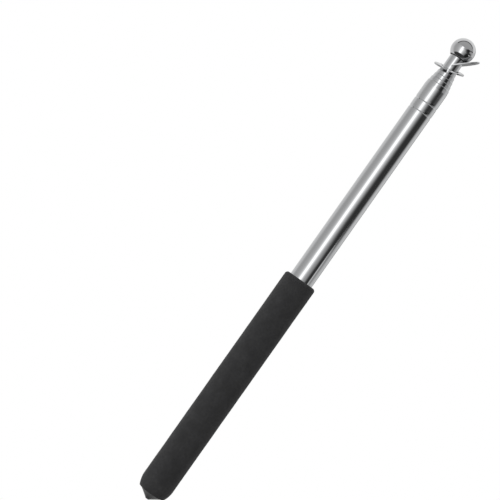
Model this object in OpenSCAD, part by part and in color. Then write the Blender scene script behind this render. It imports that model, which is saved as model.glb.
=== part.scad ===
// Hand-held telescopic flagpole, shown pushed together.
// The pole stands along Z. Heights are counted from the butt tip, and the finished
// model is lowered so that the origin lies on the axis in the middle of the grip.

/* [Grip] */
// Thickness of the foam sleeve on the outer tube
grip_wall = 3.1; // [2.2:0.1:6]
// Length of the foam sleeve
grip_l = 162.6; // [100:0.1:220]
// Radius of the sleeve's rounded top edge
grip_top_r = 2; // [0.5:0.1:2]
// Height of the sleeve's rounded foot
grip_foot_h = 8; // [4:0.5:14]
// How far the rounded foot draws in
grip_foot_in = 1.9; // [0.8:0.1:2]

/* [End plug] */
// Height of the plug's cone, from its tip to the end of the outer tube
plug_cone_h = 5; // [3:0.1:10]
// Diameter of the blunt tip
plug_tip_d = 3.4; // [2:0.1:6]
// Height of the rounding at the blunt tip
plug_tip_h = 0.7; // [0.3:0.1:1.5]
// Length of the plug's spigot inside the outer tube
plug_spigot_l = 12; // [6:0.5:20]

/* [Tubes] */
// Outside diameter of the outer tube
tube_d = 16; // [15:0.1:19]
// Wall of every tube
tube_wall = 0.3; // [0.25:0.01:0.4]
// Radial gap between a tube's bore and the tube inside it
tube_gap = 0.285; // [0.22:0.005:0.36]
// Radial running clearance at the necks, grooves and feet
run_clear = 0.06; // [0.03:0.01:0.1]
// Length of the outer tube
outer_l = 312.1; // [280:0.1:380]
// Height of each rim above the rim of the tube around it
rim_step = 2.85; // [2:0.05:4]
// Length of the swaged foot of the second tube, which leaves each tube a travel of 250
foot_l = 28.8; // [10:0.1:60]

/* [Necks and grooves] */
// Length over which a rim is rolled in
neck_l = 2.8; // [1:0.1:5]
// Depth of the rounding at the mouth of a rim, into the wall
mouth_r = 0.24; // [0.05:0.01:0.24]
// Height of the rounding at the mouth of a rim
mouth_h = 0.7; // [0.1:0.05:1.2]
// Distance of the upper rolled groove below the rim
groove_high = 13.7; // [8:0.1:18]
// Distance of the lower rolled groove below the rim
groove_low = 20.3; // [20:0.1:30]
// Width of a rolled groove
groove_w = 1.8; // [0.8:0.1:2]
// Length of the taper above a swaged foot
foot_taper_l = 1.5; // [0.5:0.1:4]

/* [Ball] */
// Diameter of the ball
ball_d = 16; // [14:0.1:22]
// Length of the top tube that shows between the last rim and the ball
stem_show = 8.9; // [8:0.1:16]
// How far the top tube goes into the ball, from where they meet
ball_socket_l = 4; // [2:0.1:6]
// Radial clearance of the top tube in the ball
socket_clear = 0.03; // [0.01:0.01:0.1]

/* [Flag clip] */
// Thickness of the spring steel
clip_t = 0.9; // [0.4:0.05:1]
// Width of the base plate's lobes, to either side of the tube below
lobe_w = 4.2; // [2.5:0.1:7]
// Width of the base plate's band, in front of and behind the tube below
band_w = 2.8; // [1.5:0.1:4]
// Shift of the base plate to the side away from the tongue
plate_shift = 0.5; // [0:0.1:1.5]
// Slope of the base plate, in degrees
plate_tilt = 10.5; // [4:0.5:15]
// How far the base plate leans to the front, in degrees
plate_pitch = 14; // [8:0.5:15]
// Slope of the tongue, in degrees
tongue_tilt = 41; // [34:0.5:48]
// How far the tongue's tip stands out beyond the ball
tongue_out = 4.9; // [3:0.1:9]
// Width of the tongue's rails beside the stem
rail_w = 1.7; // [1.5:0.1:4]
// Where the tongue's front prong ends, to the left of the axis
prong_left = 0.8; // [0:0.1:2]
// Clearance of the tongue round the top tube
clip_clear = 0.12; // [0.05:0.01:0.3]
// Clearance of the base plate round the tube below
plate_clear = 0.25; // [0.15:0.01:0.4]
// Height of the base plate above the last rim, on the axis
plate_rise = 0.8; // [0.4:0.1:1.2]
// Width of the slit at the front of the base plate
slit_w = 2.6; // [1.5:0.1:6]
// Room between the tongue and the ball
clip_ball_room = 0.25; // [0.1:0.01:1]

/* [Hidden] */
$fn = 96;

TUBES = 6;
ARC_STEPS = 6;
STEEL = "#c9cbcd";
FOAM = "#333334";
PLASTIC = "#2a2a2b";

// Radial depth of a neck or groove: what is left of the gap once the next tube can run
draw_in = tube_gap - run_clear;

// Outside radius of tube i, counted from 1 at the outside
function tube_r(i) = tube_d / 2 - (i - 1) * (tube_wall + tube_gap);
// Height of the rim of tube i
function rim_z(i) = plug_cone_h + outer_l + (i - 1) * rim_step;
// Outside radius of the swaged foot of tube i, which runs in the bore around it
function foot_r(i) = tube_r(i - 1) - tube_wall - run_clear;
// Height where the swaged foot of tube i ends: as far below its rim's groove as on the second tube
function foot_top(i) = seat_z + foot_l + (i - 2) * rim_step;

stem_r = tube_r(TUBES);
seat_z = plug_cone_h + plug_spigot_l;
grip_r = tube_d / 2 + grip_wall;
grip_bottom = plug_cone_h;
grip_top = grip_bottom + grip_l;
hold_z = (grip_bottom + grip_foot_h + grip_top - grip_top_r) / 2;

ball_r = ball_d / 2;
ball_meets_z = rim_z(TUBES - 1) + stem_show;
ball_z = ball_meets_z + sqrt(ball_r * ball_r - stem_r * stem_r);
stem_top = ball_meets_z + ball_socket_l;

clip_hole_r = stem_r + clip_clear;
plate_hole_r = tube_r(TUBES - 1) + plate_clear;
plate_z = rim_z(TUBES - 1) + plate_rise;
tongue_z = ball_z - (ball_r + clip_ball_room + clip_t / 2) / cos(tongue_tilt);
plate_l = 2 * (plate_hole_r + lobe_w);
plate_w = 2 * (plate_hole_r + band_w);
tongue_w = 2 * (clip_hole_r + rail_w);
tongue_tip = (ball_r + tongue_out) / cos(tongue_tilt);
clip_block = 4 * plate_l;

// Points of a rolled groove of circular section centred at height z on radius r
function groove(r, z) =
    let (rho = (groove_w * groove_w / 4 + draw_in * draw_in) / (2 * draw_in),
         half = asin(groove_w / 2 / rho))
    [for (k = [-ARC_STEPS : ARC_STEPS])
        let (a = half * k / ARC_STEPS)
        [r - draw_in + rho * (1 - cos(a)), z + rho * sin(a)]];

// Points of a rolled-in rim: a smooth shoulder that ends just below the mouth at height z
function neck(r, z) =
    [for (k = [0 : ARC_STEPS])
        [r - draw_in * (1 - cos(180 * k / ARC_STEPS)) / 2, z - mouth_h - neck_l * (1 - k / ARC_STEPS)]];

// Points of a swaged foot of tube i, standing at seat_z
function foot(i) = [
    [foot_r(i), seat_z],
    [foot_r(i), foot_top(i) - foot_taper_l],
    [tube_r(i), foot_top(i)]
];

// A drawn tube: its outside line turned round the axis, with an even wall inside it and a rounded mouth
module drawn_tube(line) {
    last = line[len(line) - 1];
    mouth = [for (k = [1 : ARC_STEPS])
        let (a = 90 * k / ARC_STEPS)
        last + [mouth_r * (cos(a) - 1), mouth_h * sin(a)]];
    inside = [for (k = [len(line) - 1 : -1 : 0]) line[k] - [tube_wall, 0]];
    color(STEEL) rotate_extrude() polygon(concat(line, mouth, [last + [-tube_wall, mouth_h]], inside));
}

// Foam sleeve with a rounded top edge and a foot that draws in to the plug
module foam_grip() {
    foot_rho = (grip_foot_h * grip_foot_h + grip_foot_in * grip_foot_in) / (2 * grip_foot_in);
    foot_angle = asin(grip_foot_h / foot_rho);
    foot_arc = [for (k = [0 : ARC_STEPS])
        let (a = foot_angle * (1 - k / ARC_STEPS))
        [grip_r - foot_rho * (1 - cos(a)), grip_bottom + grip_foot_h - foot_rho * sin(a)]];
    top_arc = [for (k = [0 : ARC_STEPS])
        let (a = 90 * k / ARC_STEPS)
        [grip_r - grip_top_r * (1 - cos(a)), grip_top - grip_top_r * (1 - sin(a))]];
    color(FOAM) rotate_extrude() polygon(concat(
        [[tube_d / 2, grip_bottom]], foot_arc, top_arc, [[tube_d / 2, grip_top]]));
}

// Blunt cone that closes the butt, with a spigot in the outer tube
module end_plug() {
    spigot_r = tube_d / 2 - tube_wall;
    color(PLASTIC) rotate_extrude() polygon([
        [0, 0],
        [plug_tip_d / 2 - plug_tip_h, 0],
        [plug_tip_d / 2, plug_tip_h],
        [tube_d / 2, plug_cone_h],
        [spigot_r, plug_cone_h],
        [spigot_r, seat_z],
        [0, seat_z]
    ]);
}

// Outer tube: plain foot on the plug, two rolled grooves and a rolled-in rim
module outer_tube() {
    r = tube_r(1);
    z = rim_z(1);
    foot = [[r, plug_cone_h]];
    drawn_tube(concat(foot, groove(r, z - groove_low), groove(r, z - groove_high), neck(r, z)));
}

// Sliding tube i: swaged foot, two rolled grooves and a rolled-in rim
module sliding_tube(i) {
    r = tube_r(i);
    z = rim_z(i);
    drawn_tube(concat(foot(i), groove(r, z - groove_low), groove(r, z - groove_high), neck(r, z)));
}

// Top tube: swaged foot and a plain end that goes up into the ball
module top_tube() {
    drawn_tube(concat(foot(TUBES), [[stem_r, stem_top - mouth_h]]));
}

// Ball with a socket for the top tube
module ball_finial() {
    color(STEEL) difference() {
        translate([0, 0, ball_z]) sphere(r = ball_r);
        translate([0, 0, stem_top - ball_r]) cylinder(r = stem_r + socket_clear, h = ball_r);
    }
}

// Places what follows on the base plate's middle plane, which slopes up to the right and leans to the front
module on_plate() {
    translate([0, 0, plate_z]) rotate([plate_pitch, -plate_tilt, 0]) children();
}

// Places what follows on the tongue's middle plane, which slopes up to the right
module on_tongue() {
    translate([0, 0, tongue_z]) rotate([0, -tongue_tilt, 0]) children();
}

// Space above a middle plane
module above() {
    translate([0, 0, clip_block / 2]) cube(clip_block, center = true);
}

// A flat sheet of the clip, cut to an outline
module sheet() {
    translate([0, 0, -clip_t / 2]) linear_extrude(clip_t) children();
}

// Base plate with round ends and flat sides, open round the pole and slit at the front
module clip_plate() {
    difference() {
        on_plate() sheet() translate([-plate_shift, 0]) intersection() {
            circle(d = plate_l);
            square([plate_l, plate_w], center = true);
        }
        translate([0, 0, plate_z - plate_l / 2]) cylinder(r = plate_hole_r, h = plate_l);
        translate([-plate_shift - slit_w / 2, -plate_w, plate_z - plate_l / 2])
            cube([slit_w, plate_w, plate_l]);
    }
}

// Raised tongue with a round end: a rail behind the stem, which comes down to the base plate, and a short
// prong in front of the stem
module clip_tongue() {
    end_r = tongue_w / 2;
    difference() {
        intersection() {
            on_tongue() sheet() {
                translate([-plate_l / 2, -end_r]) square([plate_l / 2 + tongue_tip - end_r, tongue_w]);
                translate([tongue_tip - end_r, 0]) circle(r = end_r);
            }
            on_plate() above();
        }
        translate([-prong_left - plate_l, -tongue_w, tongue_z - plate_l])
            cube([plate_l, tongue_w, 2 * plate_l]);
    }
}

// Upright web behind the stem that joins the tongue to the base plate
module clip_web() {
    difference() {
        intersection() {
            translate([-stem_r, plate_hole_r, plate_z - plate_l / 2]) cube([2 * stem_r, clip_t, plate_l]);
            on_plate() above();
        }
        on_tongue() above();
    }
}

// Spring clip for the flag, folded from one piece of steel and sprung on to the stem
module flag_clip() {
    color(STEEL) difference() {
        union() {
            clip_plate();
            clip_tongue();
            clip_web();
        }
        translate([0, 0, plate_z - plate_l]) cylinder(r = clip_hole_r, h = 3 * plate_l);
    }
}

// Lowers the model so that the middle of the grip is the origin
module held() {
    translate([0, 0, -hold_z]) children();
}

held() foam_grip();
held() end_plug();
held() outer_tube();
held() sliding_tube(2);  // tube_2
held() sliding_tube(3);  // tube_3
held() sliding_tube(4);  // tube_4
held() sliding_tube(5);  // tube_5
held() top_tube();  // tube_6
held() ball_finial();
held() flag_clip();
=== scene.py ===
import math

import bmesh
import bpy
from mathutils import Matrix, Vector, noise


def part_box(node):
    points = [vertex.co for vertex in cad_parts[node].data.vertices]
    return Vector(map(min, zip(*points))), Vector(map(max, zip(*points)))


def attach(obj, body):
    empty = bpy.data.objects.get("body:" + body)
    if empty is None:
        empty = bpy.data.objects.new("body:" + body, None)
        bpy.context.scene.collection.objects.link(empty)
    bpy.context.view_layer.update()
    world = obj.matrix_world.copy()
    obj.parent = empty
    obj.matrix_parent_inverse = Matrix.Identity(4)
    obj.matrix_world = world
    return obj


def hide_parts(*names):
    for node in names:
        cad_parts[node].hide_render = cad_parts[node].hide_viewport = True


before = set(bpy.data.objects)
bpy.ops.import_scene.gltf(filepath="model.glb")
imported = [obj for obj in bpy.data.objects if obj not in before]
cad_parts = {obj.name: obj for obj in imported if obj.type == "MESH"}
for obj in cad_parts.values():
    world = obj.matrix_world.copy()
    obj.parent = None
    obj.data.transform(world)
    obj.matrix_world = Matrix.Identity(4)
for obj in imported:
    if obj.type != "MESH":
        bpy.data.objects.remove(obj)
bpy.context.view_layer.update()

MM = 0.001
BUTT_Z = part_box("end_plug")[0].z

# Lengths below are in millimetres and angles in degrees, and heights count from the butt tip, as
# in the part's source.

# Tubes
TUBE_R = 8.0
TUBE_STEP = 0.585
TUBE_WALL = 0.3
DRAW_IN = 0.225
RIM_STEP = 2.85
NECK_L = 2.8
MOUTH_R = 0.24
MOUTH_H = 0.7
GROOVES_BELOW_RIM = (20.3, 13.7)
GROOVE_W = 1.8
FOOT_TOP = 45.8
FOOT_TAPER_L = 1.5
WORKED_L = 23.0
# The painted shade ring, with some grease, over the rim of the tube around: its width and strength.
SEAM_W = 1.1
SHADE_AND_GREASE_COVER = 0.95
TUBE_WELD = 0.002
TUBE_ROWS = 190
TUBE_SEGMENTS = 96
BODIES = ("handle", "section_2", "section_3", "section_4", "section_5", "section_6")
TUBES = ("outer_tube", "tube_2", "tube_3", "tube_4", "tube_5", "tube_6")

# Grip, with the mean depth that grinding takes off it, and its waves as (length, depth)
GRIP_R = 11.1
GRIP_BOTTOM = 5.0
GRIP_TOP = 167.6
GRIP_TOP_R = 2.0
GRIP_FOOT_H = 8.0
GRIP_FOOT_IN = 1.9
GRIP_ARC_STEPS = 12
GRIP_SEGMENTS = 128
GROUND_OFF = 0.09
SLOW_WAVE = (14.0, 0.06)
FINE_WAVE = (3.0, 0.03)

# End plug, with the rounded edge of its cone as (in from the tube's wall, below the cone's top)
PLUG_TIP_R = 1.7
PLUG_TIP_H = 0.7
PLUG_TIP_END = -20
PLUG_TIP_STEPS = 6
PLUG_CONE_H = 5.0
PLUG_CONE_EDGE = ((0.35, 0.3), (0.1, 0.1), (0.0, 0.0))
PLUG_TOP = 17.0
PLUG_CHAMFER = 0.6
PLUG_SEGMENTS = 96

# Ball
BALL_R = 8.0
BALL_Z = 343.584
BALL_MEETS_Z = 337.4
# The painted shade line where the ball meets the top tube: its height and its roughness.
SHADE_LINE_H = 0.9
SHADE_LINE_DULL = 0.8
SOCKET_TOP = 341.4
SOCKET_R = 5.105
SOCKET_LIP_R = 0.12
SOCKET_LIP_H = 0.1
BALL_ROWS = 72
BALL_SEGMENTS = 128

# Clip
CLIP_EDGE = 0.16
CLIP_EDGE_STEPS = 3
CLIP_WELD = 0.001
CLIP_FLAT = 0.5
CLIP_FOLD = 30

# Edges that fold more than this are drawn sharp.
SHARP_EDGE = 40

# Patterns of the finishes: a size, or sizes along X, Y and Z, and depths of relief
DIE_LINE = (0.5, 0.5, 60)
DIE_LINE_DEPTH = 0.02
HANDLING_MARK = 14
SMUDGE = 5
ROLLING_LINE = (8, 0.25, 8)
ROLLING_LINE_DEPTH = 0.02
PRESS_PATCH = 3
FOAM_CELL = 0.7
FOAM_CELL_DEPTH = 0.12
FOAM_GRAIN = 1.6
FOAM_MOTTLE = 9
MOULD_GRAIN = 0.35
MOULD_GRAIN_DEPTH = 0.03
FLOW_MARK = 4

# Camera, fitted to the photo's outline
CAMERA_TARGET = (-37.1, 0.0, 164.6)
CAMERA_DISTANCE = 1050.0
CAMERA_ROLL = 35.205
FOCAL_PX = 1674.75
IMAGE_PX = 500
SENSOR_MM = 36.0


def height(mm):
    """A height above the butt tip, in the row frame, in metres."""
    return BUTT_Z + mm * MM


def camera():
    """The photo's view: square on to the middle of the pole, from close by, rolled so that the
    pole leans right."""
    roll = math.radians(CAMERA_ROLL)
    ahead, up, right = Vector((0, 1, 0)), Vector((0, 0, 1)), Vector((1, 0, 0))
    rolled_right = right * math.cos(roll) + up * math.sin(roll)
    rolled_up = up * math.cos(roll) - right * math.sin(roll)
    x, y, z = CAMERA_TARGET
    target = Vector((x * MM, y * MM, height(z)))
    data = bpy.data.cameras.new("camera")
    data.sensor_width = SENSOR_MM
    data.lens = FOCAL_PX / IMAGE_PX * SENSOR_MM
    made = bpy.data.objects.new("camera", data)
    turn = Matrix((rolled_right, rolled_up, -ahead)).transposed()
    made.matrix_world = Matrix.Translation(target - ahead * CAMERA_DISTANCE * MM) @ turn.to_4x4()
    bpy.context.scene.collection.objects.link(made)
    bpy.context.scene.camera = made


camera()
bpy.context.scene.view_settings.view_transform = "Standard"


def linear(hex_colour):
    """An sRGB hex colour as linear RGBA."""
    channels = [int(hex_colour[i:i + 2], 16) / 255 for i in (1, 3, 5)]
    return (*[c / 12.92 if c <= 0.04045 else ((c + 0.055) / 1.055) ** 2.4 for c in channels], 1.0)


def add(tree, kind, inputs=None, **settings):
    """Adds a node with its settings. An input takes a value, a socket, or a node, which gives its
    first output."""
    node = tree.nodes.new(kind)
    for name, value in settings.items():
        setattr(node, name, value)
    for key, value in (inputs or {}).items():
        socket = node.inputs[key] if isinstance(key, int) else next(
            s for s in node.inputs if s.name == key and s.enabled)
        if isinstance(value, bpy.types.Node):
            value = next(s for s in value.outputs if s.enabled)
        if isinstance(value, bpy.types.NodeSocket):
            tree.links.new(value, socket)
        else:
            socket.default_value = value
    return node


def finish(name):
    """An empty material, and its tree."""
    made = bpy.data.materials.new(name)
    made.use_nodes = True
    made.node_tree.nodes.clear()
    return made, made.node_tree


def drawn_stainless_steel():
    """Stainless steel tube, cold drawn and buffed: a grey mirror that runs along the pole, broken a
    little by fine lengthwise lines from the die and by faint marks of handling, with a painted dark
    ring just over the rim around a pushed-in tube: shade of the gap there, with some grease."""
    made, tree = finish("stainless steel, drawn and buffed")
    place = add(tree, "ShaderNodeTexCoord").outputs["Object"]
    along = add(tree, "ShaderNodeMapping", {
        "Vector": place, "Scale": [1 / length for length in DIE_LINE]})
    lines = add(tree, "ShaderNodeTexNoise", {"Vector": along, "Scale": 1 / MM, "Detail": 2.0})
    marks = add(tree, "ShaderNodeTexNoise", {
        "Vector": place, "Scale": 1 / (HANDLING_MARK * MM), "Detail": 3.0})
    tone = add(tree, "ShaderNodeMix", {
        "Factor": lines, "A": linear("#bcbdbe"), "B": linear("#c6c7c8")}, data_type="RGBA")
    # Painted shade: a dark ring over the rim of the tube around, for the gap there, with some
    # grease.
    seam = add(tree, "ShaderNodeAttribute", attribute_name="seam").outputs["Fac"]
    shade_and_grease = add(tree, "ShaderNodeMath", {0: seam, 1: SHADE_AND_GREASE_COVER}, operation="MULTIPLY")
    tone = add(tree, "ShaderNodeMix", {
        "Factor": shade_and_grease, "A": tone, "B": linear("#2a2a2b")}, data_type="RGBA")
    gloss = add(tree, "ShaderNodeMapRange", {
        "Value": marks, "From Min": 0.35, "From Max": 0.75, "To Min": 0.07, "To Max": 0.13})
    relief = add(tree, "ShaderNodeBump", {
        "Height": lines, "Strength": 0.05, "Distance": DIE_LINE_DEPTH * MM})
    shader = add(tree, "ShaderNodeBsdfPrincipled", {
        "Base Color": tone, "Metallic": 1.0, "Roughness": gloss, "Normal": relief})
    add(tree, "ShaderNodeOutputMaterial", {"Surface": shader})
    return made


def turned_chrome_ball():
    """Turned ball, polished and chromium plated: the cleanest mirror on the pole, dulled only by
    faint smudges, with a painted dark line of shade in the corner round the top tube."""
    made, tree = finish("chromium plate, mirror polished")
    place = add(tree, "ShaderNodeTexCoord").outputs["Object"]
    smudges = add(tree, "ShaderNodeTexNoise", {
        "Vector": place, "Scale": 1 / (SMUDGE * MM), "Detail": 4.0})
    tone = add(tree, "ShaderNodeMix", {
        "Factor": smudges, "A": linear("#bebfc0"), "B": linear("#c8c8c9")}, data_type="RGBA")
    gloss = add(tree, "ShaderNodeMapRange", {
        "Value": smudges, "From Min": 0.4, "From Max": 0.75, "To Min": 0.03, "To Max": 0.09})
    # Painted shade: a dark, dull, non-metal band in the corner where the ball meets the top tube.
    level = add(tree, "ShaderNodeSeparateXYZ", {0: place}).outputs["Z"]
    unshaded = add(tree, "ShaderNodeMapRange", {
        "Value": level, "From Min": height(BALL_MEETS_Z + SHADE_LINE_H / 2),
        "From Max": height(BALL_MEETS_Z + SHADE_LINE_H)})
    tone = add(tree, "ShaderNodeMix", {
        "Factor": unshaded, "A": linear("#1a1a1b"), "B": tone}, data_type="RGBA")
    gloss = add(tree, "ShaderNodeMix", {
        "Factor": unshaded, "A": SHADE_LINE_DULL, "B": gloss}, data_type="FLOAT")
    shader = add(tree, "ShaderNodeBsdfPrincipled", {
        "Base Color": tone, "Metallic": unshaded, "Roughness": gloss})
    add(tree, "ShaderNodeOutputMaterial", {"Surface": shader})
    return made


def pressed_spring_steel():
    """Spring steel strip, rolled, pressed and bright plated: a softer shine than the tubes, with
    rolling lines across the strip and duller patches where the press has bent it."""
    made, tree = finish("spring steel strip, bright plated")
    place = add(tree, "ShaderNodeTexCoord").outputs["Object"]
    across = add(tree, "ShaderNodeMapping", {
        "Vector": place, "Scale": [1 / length for length in ROLLING_LINE]})
    rolling = add(tree, "ShaderNodeTexNoise", {"Vector": across, "Scale": 1 / MM, "Detail": 2.0})
    patches = add(tree, "ShaderNodeTexNoise", {
        "Vector": place, "Scale": 1 / (PRESS_PATCH * MM), "Detail": 2.0})
    tone = add(tree, "ShaderNodeMix", {
        "Factor": rolling, "A": linear("#a8a9aa"), "B": linear("#b8b9ba")}, data_type="RGBA")
    gloss = add(tree, "ShaderNodeMapRange", {
        "Value": patches, "From Min": 0.3, "From Max": 0.75, "To Min": 0.14, "To Max": 0.26})
    relief = add(tree, "ShaderNodeBump", {
        "Height": rolling, "Strength": 0.1, "Distance": ROLLING_LINE_DEPTH * MM})
    shader = add(tree, "ShaderNodeBsdfPrincipled", {
        "Base Color": tone, "Metallic": 1.0, "Roughness": gloss, "Normal": relief})
    add(tree, "ShaderNodeOutputMaterial", {"Surface": shader})
    return made


def ground_foam_rubber():
    """Nitrile foam rubber, extruded as a sleeve and ground: matte black-grey, with fine open cells
    over a slow mottle, and a dusty edge of light at a glancing angle. The real cells are about
    0.2 mm across, and are drawn coarser so that they show."""
    made, tree = finish("nitrile foam rubber, ground")
    place = add(tree, "ShaderNodeTexCoord").outputs["Object"]
    cells = add(tree, "ShaderNodeTexVoronoi", {"Vector": place, "Scale": 1 / (FOAM_CELL * MM)})
    grain = add(tree, "ShaderNodeTexNoise", {
        "Vector": place, "Scale": 1 / (FOAM_GRAIN * MM), "Detail": 5.0})
    mottle = add(tree, "ShaderNodeTexNoise", {
        "Vector": place, "Scale": 1 / (FOAM_MOTTLE * MM), "Detail": 2.0})
    depth = add(tree, "ShaderNodeMath", {0: cells, 1: grain}, operation="ADD")
    worn = add(tree, "ShaderNodeMath", {0: mottle, 1: grain}, operation="MULTIPLY")
    shade = add(tree, "ShaderNodeMapRange", {"Value": worn, "From Min": 0.12, "From Max": 0.42})
    tone = add(tree, "ShaderNodeMix", {
        "Factor": shade, "A": linear("#272728"), "B": linear("#363637")}, data_type="RGBA")
    dull = add(tree, "ShaderNodeMapRange", {"Value": grain, "To Min": 0.8, "To Max": 0.95})
    relief = add(tree, "ShaderNodeBump", {
        "Height": depth, "Strength": 0.5, "Distance": FOAM_CELL_DEPTH * MM})
    shader = add(tree, "ShaderNodeBsdfPrincipled", {
        "Base Color": tone, "Roughness": dull, "Normal": relief, "Sheen Weight": 0.06,
        "Sheen Roughness": 0.5})
    add(tree, "ShaderNodeOutputMaterial", {"Surface": shader})
    return made


def moulded_polyethylene():
    """Polyethylene, injection moulded in a lightly eroded mould: near black, with a waxy sheen and
    a fine even grain."""
    made, tree = finish("polyethylene, moulded")
    place = add(tree, "ShaderNodeTexCoord").outputs["Object"]
    grain = add(tree, "ShaderNodeTexNoise", {
        "Vector": place, "Scale": 1 / (MOULD_GRAIN * MM), "Detail": 3.0})
    flow = add(tree, "ShaderNodeTexNoise", {
        "Vector": place, "Scale": 1 / (FLOW_MARK * MM), "Detail": 1.0})
    tone = add(tree, "ShaderNodeMix", {
        "Factor": flow, "A": linear("#1e1e1f"), "B": linear("#29292a")}, data_type="RGBA")
    gloss = add(tree, "ShaderNodeMapRange", {"Value": grain, "To Min": 0.38, "To Max": 0.55})
    relief = add(tree, "ShaderNodeBump", {
        "Height": grain, "Strength": 0.2, "Distance": MOULD_GRAIN_DEPTH * MM})
    shader = add(tree, "ShaderNodeBsdfPrincipled", {
        "Base Color": tone, "Roughness": gloss, "Normal": relief})
    add(tree, "ShaderNodeOutputMaterial", {"Surface": shader})
    return made


TUBE_STEEL = drawn_stainless_steel()
BALL_CHROME = turned_chrome_ball()
CLIP_STEEL = pressed_spring_steel()
FOAM = ground_foam_rubber()
PLUG_PLASTIC = moulded_polyethylene()


def drawn_tube_rule():
    """The rule of a drawn tube as a node tree. Rows of points run up the outside, over the mouth
    and down the bore; each row's height and radius follow from the tube's sizes, which are the
    tree's inputs, in metres."""
    tree = bpy.data.node_groups.new("drawn tube", "GeometryNodeTree")
    sizes = (
        "Bottom", "Rim", "Radius", "Wall", "Foot Radius", "Foot Top", "Foot Taper", "Draw In",
        "Neck", "Mouth Depth", "Mouth Height", "Groove Low", "Groove High", "Groove Width",
        "Worked Length", "Rim Around", "Seam Width")
    tree.interface.new_socket("Geometry", in_out="INPUT", socket_type="NodeSocketGeometry")
    for name in sizes:
        tree.interface.new_socket(name, in_out="INPUT", socket_type="NodeSocketFloat")
    tree.interface.new_socket("Finish", in_out="INPUT", socket_type="NodeSocketMaterial")
    tree.interface.new_socket("Tube", in_out="OUTPUT", socket_type="NodeSocketGeometry")
    size = add(tree, "NodeGroupInput").outputs

    # A sheet of points: X goes once round the tube, and Y counts the rows from the foot to the
    # mouth and back. Counts are whole, so half a row tells two neighbours apart.
    sheet = add(tree, "GeometryNodeMeshGrid", {
        "Size X": math.tau, "Size Y": 2 * TUBE_ROWS, "Vertices X": TUBE_SEGMENTS + 1,
        "Vertices Y": 2 * TUBE_ROWS + 1})
    count = add(tree, "ShaderNodeSeparateXYZ", {
        0: add(tree, "GeometryNodeInputPosition")}).outputs
    off_mouth = add(tree, "ShaderNodeMath", {0: count["Y"], 1: 0.5}, operation="ADD")
    from_mouth = add(tree, "ShaderNodeMath", {0: off_mouth}, operation="ABSOLUTE")
    row = add(tree, "ShaderNodeMath", {0: TUBE_ROWS - 0.5, 1: from_mouth}, operation="SUBTRACT")
    row = add(tree, "ShaderNodeMath", {0: row, 1: 0.0}, operation="MAXIMUM")
    in_bore = add(tree, "FunctionNodeCompare", {
        "A": count["Y"], "B": (TUBE_ROWS - 1) / 2, "Epsilon": TUBE_ROWS / 2}, operation="EQUAL")

    # Heights: the first rows shape the foot, and the rest lie close together over the worked
    # length below the rim.
    taper_from = add(tree, "ShaderNodeMath", {
        0: size["Foot Top"], 1: size["Foot Taper"]}, operation="SUBTRACT")
    foot = (size["Bottom"], taper_from, size["Foot Top"])
    worked_from = add(tree, "ShaderNodeMath", {
        0: size["Rim"], 1: size["Worked Length"]}, operation="SUBTRACT")
    level = add(tree, "ShaderNodeMapRange", {
        "Value": row, "From Min": len(foot), "From Max": TUBE_ROWS - 1, "To Min": worked_from,
        "To Max": size["Rim"]})
    for k in reversed(range(len(foot))):
        below = add(tree, "FunctionNodeCompare", {"A": row, "B": k + 0.5}, operation="LESS_THAN")
        level = add(tree, "GeometryNodeSwitch", {
            "Switch": below, "False": level, "True": foot[k]}, input_type="FLOAT")

    # Radius: the swaged foot, two rolled grooves, the rolled-in neck, and the rounded mouth or the
    # bore. A groove is a parabola that ends half its width to either side.
    radius = add(tree, "ShaderNodeMapRange", {
        "Value": level, "From Min": taper_from, "From Max": size["Foot Top"],
        "To Min": size["Foot Radius"], "To Max": size["Radius"]})
    for groove in ("Groove Low", "Groove High"):
        off = add(tree, "ShaderNodeMath", {0: level, 1: size[groove]}, operation="SUBTRACT")
        share = add(tree, "ShaderNodeMath", {
            0: off, 1: size["Groove Width"]}, operation="DIVIDE")
        square = add(tree, "ShaderNodeMath", {0: share, 1: share}, operation="MULTIPLY")
        hollow = add(tree, "ShaderNodeMapRange", {
            "Value": square, "From Min": 0.0, "From Max": 0.5 ** 2, "To Min": size["Draw In"],
            "To Max": 0.0})
        radius = add(tree, "ShaderNodeMath", {0: radius, 1: hollow}, operation="SUBTRACT")
    neck_to = add(tree, "ShaderNodeMath", {
        0: size["Rim"], 1: size["Mouth Height"]}, operation="SUBTRACT")
    neck_from = add(tree, "ShaderNodeMath", {0: neck_to, 1: size["Neck"]}, operation="SUBTRACT")
    neck = add(tree, "ShaderNodeMapRange", {
        "Value": level, "From Min": neck_from, "From Max": neck_to, "To Min": 0.0,
        "To Max": size["Draw In"]}, interpolation_type="SMOOTHSTEP")
    radius = add(tree, "ShaderNodeMath", {0: radius, 1: neck}, operation="SUBTRACT")
    over = add(tree, "ShaderNodeMapRange", {
        "Value": level, "From Min": neck_to, "From Max": size["Rim"]})
    square = add(tree, "ShaderNodeMath", {0: over, 1: over}, operation="MULTIPLY")
    left = add(tree, "ShaderNodeMath", {0: 1.0, 1: square}, operation="SUBTRACT")
    root = add(tree, "ShaderNodeMath", {0: left}, operation="SQRT")
    mouth = add(tree, "ShaderNodeMapRange", {
        "Value": root, "From Min": 1.0, "From Max": 0.0, "To Min": 0.0,
        "To Max": size["Mouth Depth"]})
    inset = add(tree, "GeometryNodeSwitch", {
        "Switch": in_bore, "False": mouth, "True": size["Wall"]}, input_type="FLOAT")
    radius = add(tree, "ShaderNodeMath", {0: radius, 1: inset}, operation="SUBTRACT")
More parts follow.
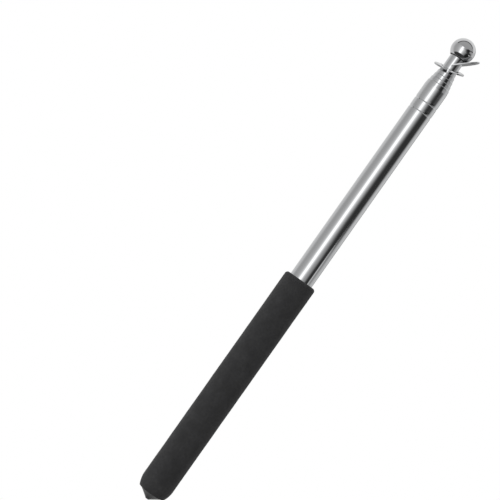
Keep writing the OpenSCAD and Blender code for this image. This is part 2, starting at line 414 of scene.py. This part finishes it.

    # The rows bent round the axis, with the painted shade ring, and grease, over the rim around.
    ways = [add(tree, "ShaderNodeMath", {0: count["X"]}, operation=way)
            for way in ("COSINE", "SINE")]
    x, y = [add(tree, "ShaderNodeMath", {0: radius, 1: way}, operation="MULTIPLY") for way in ways]
    point = add(tree, "ShaderNodeCombineXYZ", {0: x, 1: y, 2: level})
    shape = add(tree, "GeometryNodeSetPosition", {"Geometry": sheet, "Position": point})
    above = add(tree, "ShaderNodeMath", {0: level, 1: size["Rim Around"]}, operation="SUBTRACT")
    share = add(tree, "ShaderNodeMath", {0: above, 1: size["Seam Width"]}, operation="DIVIDE")
    square = add(tree, "ShaderNodeMath", {0: share, 1: share}, operation="MULTIPLY")
    seam = add(tree, "ShaderNodeMapRange", {"Value": square, "To Min": 1.0, "To Max": 0.0})
    shape = add(tree, "GeometryNodeStoreNamedAttribute", {
        "Geometry": shape, "Name": "seam", "Value": seam}, domain="POINT", data_type="FLOAT")
    shape = add(tree, "GeometryNodeMergeByDistance", {
        "Geometry": shape, "Distance": TUBE_WELD * MM})
    shape = add(tree, "GeometryNodeSetShadeSmooth", {"Geometry": shape, "Shade Smooth": True})
    fold = add(tree, "GeometryNodeInputMeshEdgeAngle").outputs["Unsigned Angle"]
    sharp = add(tree, "FunctionNodeCompare", {
        "A": fold, "B": math.radians(SHARP_EDGE)}, operation="GREATER_THAN")
    shape = add(tree, "GeometryNodeSetShadeSmooth", {
        "Geometry": shape, "Selection": sharp, "Shade Smooth": False}, domain="EDGE")
    shape = add(tree, "GeometryNodeRealizeInstances", {"Geometry": shape})
    shape = add(tree, "GeometryNodeSetMaterial", {"Geometry": shape, "Material": size["Finish"]})
    add(tree, "NodeGroupOutput", {"Tube": shape})
    return tree


def place_piece(name, mesh, body, node):
    """Puts a finished mesh in the scene as the piece that stands for a CAD node and rides on its
    body."""
    made = bpy.data.objects.new(name, mesh)
    bpy.context.scene.collection.objects.link(made)
    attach(made, body)
    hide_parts(node)
    return made


def baked(blank, name):
    """The plain mesh that an object's modifiers make. The object itself goes."""
    finished = blank.evaluated_get(bpy.context.evaluated_depsgraph_get())
    mesh = bpy.data.meshes.new_from_object(finished)
    blank.modifiers.clear()
    bpy.data.objects.remove(blank)
    mesh.name = name
    return mesh


def drawn_tube(rule, index):
    """One tube of the pole, made by the rule from its own sizes."""
    node = TUBES[index]
    low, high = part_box(node)
    outer, top = index == 0, index == len(TUBES) - 1
    radius = (TUBE_R - index * TUBE_STEP) * MM
    groove_low, groove_high = [high.z - below * MM for below in GROOVES_BELOW_RIM]
    sizes = {
        "Bottom": low.z, "Rim": high.z, "Radius": radius, "Wall": TUBE_WALL * MM,
        "Foot Radius": radius if outer else high.x,
        "Foot Top": height(FOOT_TOP + (index - 1) * RIM_STEP), "Foot Taper": FOOT_TAPER_L * MM,
        "Draw In": 0.0 if top else DRAW_IN * MM, "Neck": NECK_L * MM,
        "Mouth Depth": MOUTH_R * MM, "Mouth Height": MOUTH_H * MM,
        "Groove Low": groove_low, "Groove High": groove_high, "Groove Width": GROOVE_W * MM,
        "Worked Length": WORKED_L * MM,
        "Rim Around": low.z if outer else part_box(TUBES[index - 1])[1].z,
        "Seam Width": SEAM_W * MM, "Finish": TUBE_STEEL}
    blank = bpy.data.objects.new("blank", bpy.data.meshes.new("blank"))
    bpy.context.scene.collection.objects.link(blank)
    maker = blank.modifiers.new("drawn tube", "NODES")
    maker.node_group = rule
    for item in rule.interface.items_tree:
        if item.in_out == "INPUT" and item.name in sizes:
            maker[item.identifier] = sizes[item.name]
    name = node + "_drawn"
    place_piece(name, baked(blank, name), BODIES[index], node)


def turned(profile, segments, material, shift=None):
    """A turned shape: the outline of (radius, height) points, in mm, spun round the axis. An
    outline that starts and ends off the axis is closed."""
    shape = bmesh.new()
    rings = []
    for radius, z in profile:
        if radius == 0:
            rings.append([shape.verts.new((0, 0, height(z)))])
            continue
        ring = []
        for k in range(segments):
            a = math.tau * k / segments
            r = (radius - (shift(radius, a, z) if shift else 0)) * MM
            ring.append(shape.verts.new((r * math.cos(a), r * math.sin(a), height(z))))
        rings.append(ring)
    pairs = list(zip(rings, rings[1:]))
    if len(rings[0]) > 1 and len(rings[-1]) > 1:
        pairs.append((rings[-1], rings[0]))
    for low, high in pairs:
        for k in range(segments):
            n = (k + 1) % segments
            corners = [
                low[k % len(low)], low[n % len(low)], high[n % len(high)], high[k % len(high)]]
            shape.faces.new(list(dict.fromkeys(corners)))
    bmesh.ops.recalc_face_normals(shape, faces=shape.faces)
    mesh = bpy.data.meshes.new("turned")
    shape.to_mesh(mesh)
    shape.free()
    mesh.shade_smooth()
    mesh.set_sharp_from_angle(angle=math.radians(SHARP_EDGE))
    mesh.materials.append(material)
    return mesh


def arc(centre, radius, start, end, steps):
    """Points of an arc in the outline's plane."""
    angles = [math.radians(start + (end - start) * k / steps) for k in range(steps + 1)]
    return [(centre[0] + radius * math.cos(a), centre[1] + radius * math.sin(a)) for a in angles]


def foam_grip():
    """The foam sleeve: a straight wall with a rounded top edge and a foot that draws in to the
    plug, ground a little unevenly."""
    rho = (GRIP_FOOT_H ** 2 + GRIP_FOOT_IN ** 2) / (2 * GRIP_FOOT_IN)
    sweep = math.degrees(math.asin(GRIP_FOOT_H / rho))
    foot = arc((GRIP_R - rho, GRIP_BOTTOM + GRIP_FOOT_H), rho, -sweep, 0, GRIP_ARC_STEPS)
    top = arc(
        (GRIP_R - GRIP_TOP_R, GRIP_TOP - GRIP_TOP_R), GRIP_TOP_R, 0, 90, GRIP_ARC_STEPS)
    wall_from, wall_to = foot[-1][1], top[0][1]
    rows = round(wall_to - wall_from)
    wall = [(GRIP_R, wall_from + (wall_to - wall_from) * k / rows) for k in range(1, rows)]
    bore = [(TUBE_R, GRIP_TOP), (TUBE_R, GRIP_BOTTOM)]

    def unevenness(radius, angle, z):
        if radius <= TUBE_R:
            return 0
        at = Vector((radius * math.cos(angle), radius * math.sin(angle), z))
        slow, fine = [
            depth * noise.noise(at / length) for length, depth in (SLOW_WAVE, FINE_WAVE)]
        return GROUND_OFF + slow + fine

    mesh = turned(foot + wall + top + bore, GRIP_SEGMENTS, FOAM, unevenness)
    sleeve = place_piece("foam_sleeve", mesh, "handle", "foam_grip")


def end_plug():
    """The blunt moulded cone at the butt, with rounded edges and its spigot in the tube."""
    spigot_r = TUBE_R - TUBE_WALL
    outline = [(0, 0)]
    outline += arc(
        (PLUG_TIP_R - PLUG_TIP_H, PLUG_TIP_H), PLUG_TIP_H, -90, PLUG_TIP_END, PLUG_TIP_STEPS)
    outline += [(TUBE_R - inset, PLUG_CONE_H - below) for inset, below in PLUG_CONE_EDGE]
    outline += [
        (spigot_r, PLUG_CONE_H), (spigot_r, PLUG_TOP - PLUG_CHAMFER),
        (spigot_r - PLUG_CHAMFER, PLUG_TOP), (0, PLUG_TOP)]
    mesh = turned(outline, PLUG_SEGMENTS, PLUG_PLASTIC)
    place_piece("butt_plug", mesh, "handle", "end_plug")


def ball_finial():
    """The polished ball with the socket that the top tube goes into."""
    mouth = math.degrees(math.acos((SOCKET_R + SOCKET_LIP_R) / BALL_R))
    lip_z = BALL_Z - BALL_R * math.sin(math.radians(mouth)) + SOCKET_LIP_H
    outline = [(0, SOCKET_TOP), (SOCKET_R, SOCKET_TOP), (SOCKET_R, lip_z)]
    outline += arc((0, BALL_Z), BALL_R, -mouth, 90, BALL_ROWS)[:-1] + [(0, BALL_Z + BALL_R)]
    mesh = turned(outline, BALL_SEGMENTS, BALL_CHROME)
    place_piece("polished_ball", mesh, "section_6", "ball_finial")


def flag_clip():
    """The folded clip, with the cut edges of its sheet rounded, as tumbling leaves them."""
    sheet = bmesh.new()
    sheet.from_mesh(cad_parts["flag_clip"].data)
    bmesh.ops.remove_doubles(sheet, verts=sheet.verts, dist=CLIP_WELD * MM)
    bmesh.ops.dissolve_limit(
        sheet, angle_limit=math.radians(CLIP_FLAT), verts=sheet.verts, edges=sheet.edges)
    mesh = bpy.data.meshes.new("flag_clip")
    sheet.to_mesh(mesh)
    sheet.free()
    mesh.shade_smooth()
    mesh.materials.append(CLIP_STEEL)
    blank = bpy.data.objects.new("blank", mesh)
    bpy.context.scene.collection.objects.link(blank)
    tumbled = blank.modifiers.new("tumbled edges", "BEVEL")
    tumbled.width, tumbled.segments = CLIP_EDGE * MM, CLIP_EDGE_STEPS
    tumbled.limit_method, tumbled.angle_limit = "ANGLE", math.radians(CLIP_FOLD)
    tumbled.harden_normals = True
    mesh = baked(blank, "pressed_clip")
    place_piece("pressed_clip", mesh, "section_6", "flag_clip")


rule = drawn_tube_rule()
for index in range(len(TUBES)):
    drawn_tube(rule, index)
foam_grip()
end_plug()
ball_finial()
flag_clip()


# Studio, in metres
TENT_R = 1.6
TENT_LOW = -1.7
TENT_HIGH = 2.4
TENT_STEPS = 360
CAP_STEPS = 64
TENT_UNSEEN_BY = ("camera", "diffuse", "transmission", "shadow", "volume_scatter")
FLOOR_Z = -1.0
FLOOR_SIZE = 3.2
FLOOR_FADE = (1.2, 1.8)
FLOOR_WHITE = 0.85
DUST_PER_METRE = 3.0
KEY_SIZE = (0.8, 1.6)
KEY_PLACE = (-1.5, -1.2, 0.6)
KEY_POWER = 19.0
SOFT_LIGHT = 0.37
WHITE = (1, 1, 1, 1)

# Light of the tent's wall as (bearing to the right of the camera's side, strength). A list goes once
# round: the lit side, a soft strip light, a dark board on the right with what lies beyond it, and a
# second board behind the pole on the right, which darkens the clip's underside.
LIT_SIDE = (
    (-180, 1.0), (-140, 0.9), (-126, 0.89), (-110, 0.82), (-97, 0.6), (-84, 0.54), (-70, 0.57),
    (-58, 0.62), (-44, 0.76))
STRIP = ((-34, 1.1), (-26, 2.0), (-11, 2.0), (-4, 1.3), (4, 0.82), (13, 0.58))
BOARD_BEHIND = ((154, 0.35), (160, 0.3), (174, 0.3), (179, 0.9), (180, 1.0))
# Below the pole's middle, for what faces down.
LOW = LIT_SIDE + STRIP + (
    (20, 0.45), (29, 0.3), (38, 0.08), (44, 0.02), (75, 0.02), (83, 0.1), (92, 0.45), (106, 0.79),
    (140, 0.84)) + BOARD_BEHIND
# For the tube just above the grip, with a narrow lamp beyond the board.
WAIST = LIT_SIDE + STRIP + (
    (20, 0.52), (29, 0.4), (40, 0.12), (47, 0.05), (64, 0.05), (68, 0.7), (73, 0.95), (78, 0.5),
    (84, 0.42), (92, 0.46), (106, 0.72), (140, 0.82)) + BOARD_BEHIND
# For the tube up to its rim, where the board is broad.
BROAD = LIT_SIDE + STRIP + (
    (20, 0.36), (32, 0.1), (42, 0.05), (75, 0.05), (83, 0.1), (92, 0.45), (106, 0.79), (120, 0.84),
    (140, 0.84)) + BOARD_BEHIND
# For the rims and the top tube, with a narrower strip and board.
HIGH = LIT_SIDE + (
    (-34, 0.8), (-25, 2.0), (-15, 2.0), (-7, 0.9), (4, 0.6), (14, 0.38), (24, 0.1), (32, 0.03),
    (54, 0.03), (63, 0.4), (78, 0.5), (92, 0.5), (106, 0.75), (140, 0.8)) + BOARD_BEHIND
# For the ball's upper half: the board's top edge, and the plain wall above it, which the grooves
# show too.
UPPER = (
    (-180, 1.0), (-104.5, 1.0), (-98, 0.08), (-90, 0.08), (-83, 0.55), (22, 0.55), (32, 0.04),
    (98, 0.04), (104.5, 1.0), (180, 1.0))
TOP = (
    (-180, 1.0), (-104.5, 1.0), (-98, 0.08), (-90, 0.08), (-83, 0.55), (98, 0.5), (104.5, 1.0),
    (180, 1.0))
# Light of the roof and of the ground as (distance behind the pole, strength).
ROOF_LEVELS = (
    (-TENT_R, 0.55), (-0.2, 0.55), (0.0, 0.08), (0.22, 0.08), (0.4, 1.0), (TENT_R, 1.0))
GROUND_LEVELS = ((-TENT_R, 0.06), (0.1, 0.06), (0.4, 1.0), (TENT_R, 1.0))
# Heights of the wall's rows, with their light and the share of it that has given way to the roof's
# or the ground's.
WALL_ROWS = (
    (TENT_LOW, LOW, 1.0), (-1.2, LOW, 1.0), (-1.0, LOW, 0.0), (-0.1, LOW, 0.0),
    (0.05, WAIST, 0.0), (0.14, WAIST, 0.0), (0.17, BROAD, 0.0), (0.43, BROAD, 0.0),
    (0.55, HIGH, 0.0), (0.9, HIGH, 0.0), (1.0, UPPER, 0.0), (1.1, UPPER, 0.0), (1.2, TOP, 0.0),
    (1.95, TOP, 0.0), (2.1, TOP, 1.0), (TENT_HIGH, TOP, 1.0))


def stage_piece(name, mesh, material):
    """Puts a mesh in the scene as part of the studio."""
    made = bpy.data.objects.new(name, mesh)
    bpy.context.scene.collection.objects.link(made)
    mesh.materials.append(material)
    return made


def strength_at(levels, at):
    """The light at a place, between the levels on either side of it."""
    for (a, low), (b, high) in zip(levels, levels[1:]):
        if a <= at <= b:
            return low + (high - low) * (at - a) / (b - a)


def tent():
    """A round studio tent that only the metal sees: white behind, grey on the left, a soft strip
    light beside the camera, a dark board on the right, a grey roof and dark ground."""
    made, tree = finish("studio tent")
    strength = add(tree, "ShaderNodeAttribute", attribute_name="level").outputs["Fac"]
    glow = add(tree, "ShaderNodeEmission", {"Color": WHITE, "Strength": strength})
    add(tree, "ShaderNodeOutputMaterial", {"Surface": glow})
    shape = bmesh.new()
    level = shape.verts.layers.float.new("level")

    def lit(x, y, z, strength):
        vert = shape.verts.new((x, y, z))
        vert[level] = strength
        return vert

    wall = []
    for z, levels, share in WALL_ROWS:
        cap = ROOF_LEVELS if z > 0 else GROUND_LEVELS
        row = []
        for k in range(TENT_STEPS + 1):
            bearing = 360 * k / TENT_STEPS - 180
            x = TENT_R * math.sin(math.radians(bearing))
            y = -TENT_R * math.cos(math.radians(bearing))
            side = strength_at(levels, bearing)
            row.append(lit(x, y, z, side + (strength_at(cap, y) - side) * share))
        wall.append(row)
    sheets = [wall]
    depths = [TENT_R * (2 * k / CAP_STEPS - 1) for k in range(CAP_STEPS + 1)]
    for z, cap in ((TENT_LOW, GROUND_LEVELS), (TENT_HIGH, ROOF_LEVELS)):
        sheets.append([
            [lit(x, y, z, strength_at(cap, y)) for x in (-TENT_R, TENT_R)] for y in depths])
    for sheet in sheets:
        for low, high in zip(sheet, sheet[1:]):
            for k in range(len(low) - 1):
                shape.faces.new((low[k], low[k + 1], high[k + 1], high[k]))
    mesh = bpy.data.meshes.new("studio_tent")
    shape.to_mesh(mesh)
    shape.free()
    walls = stage_piece("studio_tent", mesh, made)
    for ray in TENT_UNSEEN_BY:
        setattr(walls, "visible_" + ray, False)


def looked_at(tree):
    """1 for rays by which the surroundings are seen, straight or in the metal, and 0 for rays that
    only light."""
    path = add(tree, "ShaderNodeLightPath").outputs
    seen = add(tree, "ShaderNodeMath", {
        0: path["Is Camera Ray"], 1: path["Is Glossy Ray"]}, operation="MAXIMUM")
    return add(tree, "ShaderNodeMath", {
        0: seen, 1: path["Is Transmission Ray"]}, operation="MAXIMUM")


def floor():
    """A plain pale floor, far below the pole, that fades to white at its edges."""
    made, tree = finish("pale studio floor")
    place = add(tree, "ShaderNodeTexCoord").outputs["Object"]
    dust = add(tree, "ShaderNodeTexNoise", {
        "Vector": place, "Scale": DUST_PER_METRE, "Detail": 2.0})
    tone = add(tree, "ShaderNodeMix", {
        "Factor": dust, "A": linear("#f1f1f0"), "B": linear("#f7f7f6")}, data_type="RGBA")
    shader = add(tree, "ShaderNodeBsdfPrincipled", {"Base Color": tone, "Roughness": 0.9})
    white = add(tree, "ShaderNodeEmission", {"Color": WHITE, "Strength": 1.0})
    away = add(tree, "ShaderNodeVectorMath", {0: place}, operation="LENGTH")
    fade = add(tree, "ShaderNodeMapRange", {
        "Value": away, "From Min": FLOOR_FADE[0], "From Max": FLOOR_FADE[1], "To Min": FLOOR_WHITE,
        "To Max": 1.0})
    share = add(tree, "ShaderNodeMath", {0: looked_at(tree), 1: fade}, operation="MULTIPLY")
    mixed = add(tree, "ShaderNodeMixShader", {0: share, 1: shader, 2: white})
    add(tree, "ShaderNodeOutputMaterial", {"Surface": mixed})
    shape = bmesh.new()
    bmesh.ops.create_grid(shape, x_segments=1, y_segments=1, size=FLOOR_SIZE / 2)
    bmesh.ops.translate(shape, vec=(0, 0, FLOOR_Z), verts=shape.verts)
    mesh = bpy.data.meshes.new("studio_floor")
    shape.to_mesh(mesh)
    shape.free()
    stage_piece("studio_floor", mesh, made).visible_glossy = False


def surroundings():
    """White for the camera and for the metal, and an even soft light for everything else."""
    world = bpy.data.worlds.new("studio")
    world.use_nodes = True
    bpy.context.scene.world = world
    tree = world.node_tree
    tree.nodes.clear()
    soft = add(tree, "ShaderNodeBackground", {"Color": WHITE, "Strength": SOFT_LIGHT})
    white = add(tree, "ShaderNodeBackground", {"Color": WHITE, "Strength": 1.0})
    mixed = add(tree, "ShaderNodeMixShader", {0: looked_at(tree), 1: soft, 2: white})
    add(tree, "ShaderNodeOutputWorld", {"Surface": mixed})


def key_light():
    """One soft lamp, ahead and to the left of the pole."""
    data = bpy.data.lights.new("key", "AREA")
    data.shape = "RECTANGLE"
    data.size, data.size_y = KEY_SIZE
    data.energy = KEY_POWER
    made = bpy.data.objects.new("key", data)
    spot = Vector(KEY_PLACE)
    aim = (-spot).to_track_quat("-Z", "Y").to_matrix().to_4x4()
    made.matrix_world = Matrix.Translation(spot) @ aim
    made.visible_glossy = False
    bpy.context.scene.collection.objects.link(made)


tent()
floor()
surroundings()
key_light()
